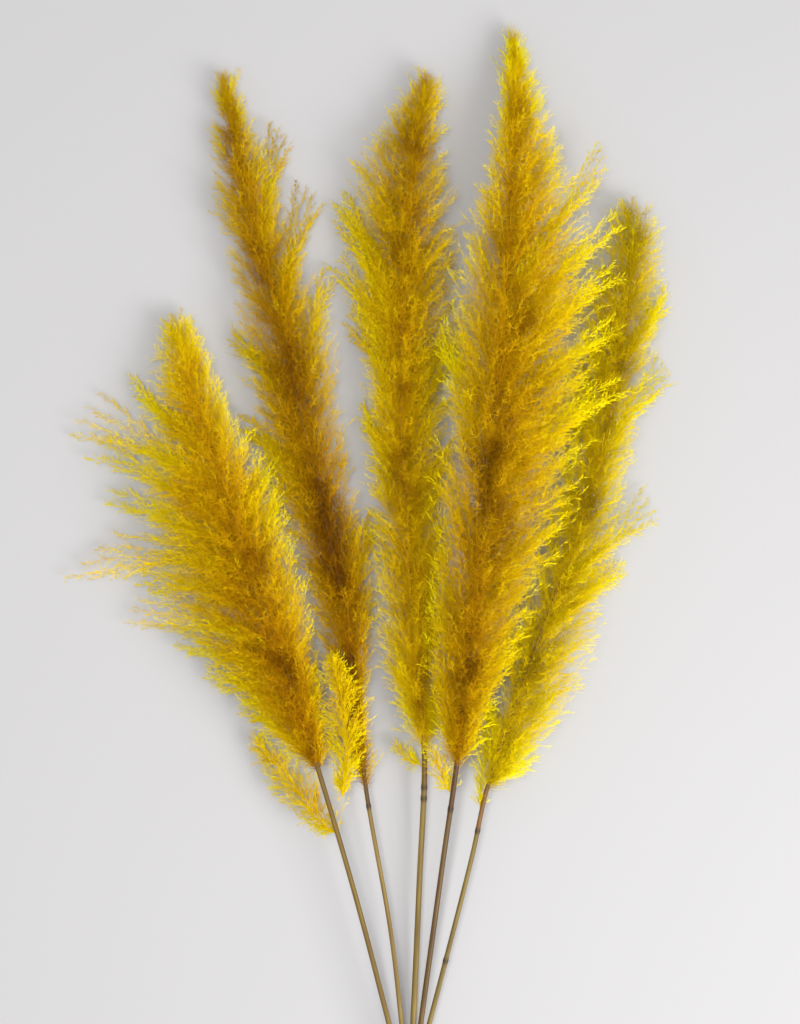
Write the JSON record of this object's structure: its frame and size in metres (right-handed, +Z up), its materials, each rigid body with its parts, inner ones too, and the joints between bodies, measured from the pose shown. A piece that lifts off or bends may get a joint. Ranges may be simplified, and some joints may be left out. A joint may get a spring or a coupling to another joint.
{
  "type": "bundle of pampas grass",
  "caption": "Loose fan of cut, dried and dyed pampas grass stems with long feathery plumes, lying on a flat surface with the bare stalks crossed.",
  "frame": {"origin": "on the surface the bundle lies on, under the middle of its box", "axes": "+Y from the cut ends to the tips of the plumes, +X to the right of the fan seen from above, +Z up from the surface"},
  "size_m": [0.5556, 1.174, 0.1108],
  "materials": {
    "plume_gold": "dyed dry grass spikelets and silky hair, matte with a slight sheen",
    "plume_amber": "dyed dry grass spikelets and silky hair, matte with a slight sheen",
    "plume_honey": "dyed dry grass spikelets and silky hair, matte with a slight sheen",
    "plume_yellow": "dyed dry grass spikelets and silky hair, matte with a slight sheen",
    "plume_olive": "dyed dry grass spikelets and silky hair, matte with a slight sheen",
    "straw_tan": "smooth dry grass culm, satin",
    "straw_brown": "smooth dry grass culm, satin"
  },
  "bodies": {
    "root": {"low_branch_1_left": "plume_gold", "low_branch_1_right": "plume_gold", "low_branch_3_left": "plume_honey", "low_branch_4_left": "plume_yellow", "low_branch_5_left": "plume_olive", "plume_1": "plume_gold", "plume_2": "plume_amber", "plume_3": "plume_honey", "plume_4": "plume_yellow", "plume_5": "plume_olive", "side_branch_1_low": "plume_gold", "side_branch_1_middle": "plume_gold", "side_branch_1_top": "plume_gold", "side_branch_2_middle": "plume_amber", "side_branch_2_top": "plume_amber", "side_branch_3_middle": "plume_honey", "side_branch_3_top": "plume_honey", "side_branch_4_top": "plume_yellow", "side_branch_5_middle": "plume_olive", "side_branch_5_top": "plume_olive", "stalk_1": "straw_tan", "stalk_2": "straw_tan", "stalk_3": "straw_brown", "stalk_4": "straw_brown", "stalk_5": "straw_tan"}
  },
  "joints": []
}
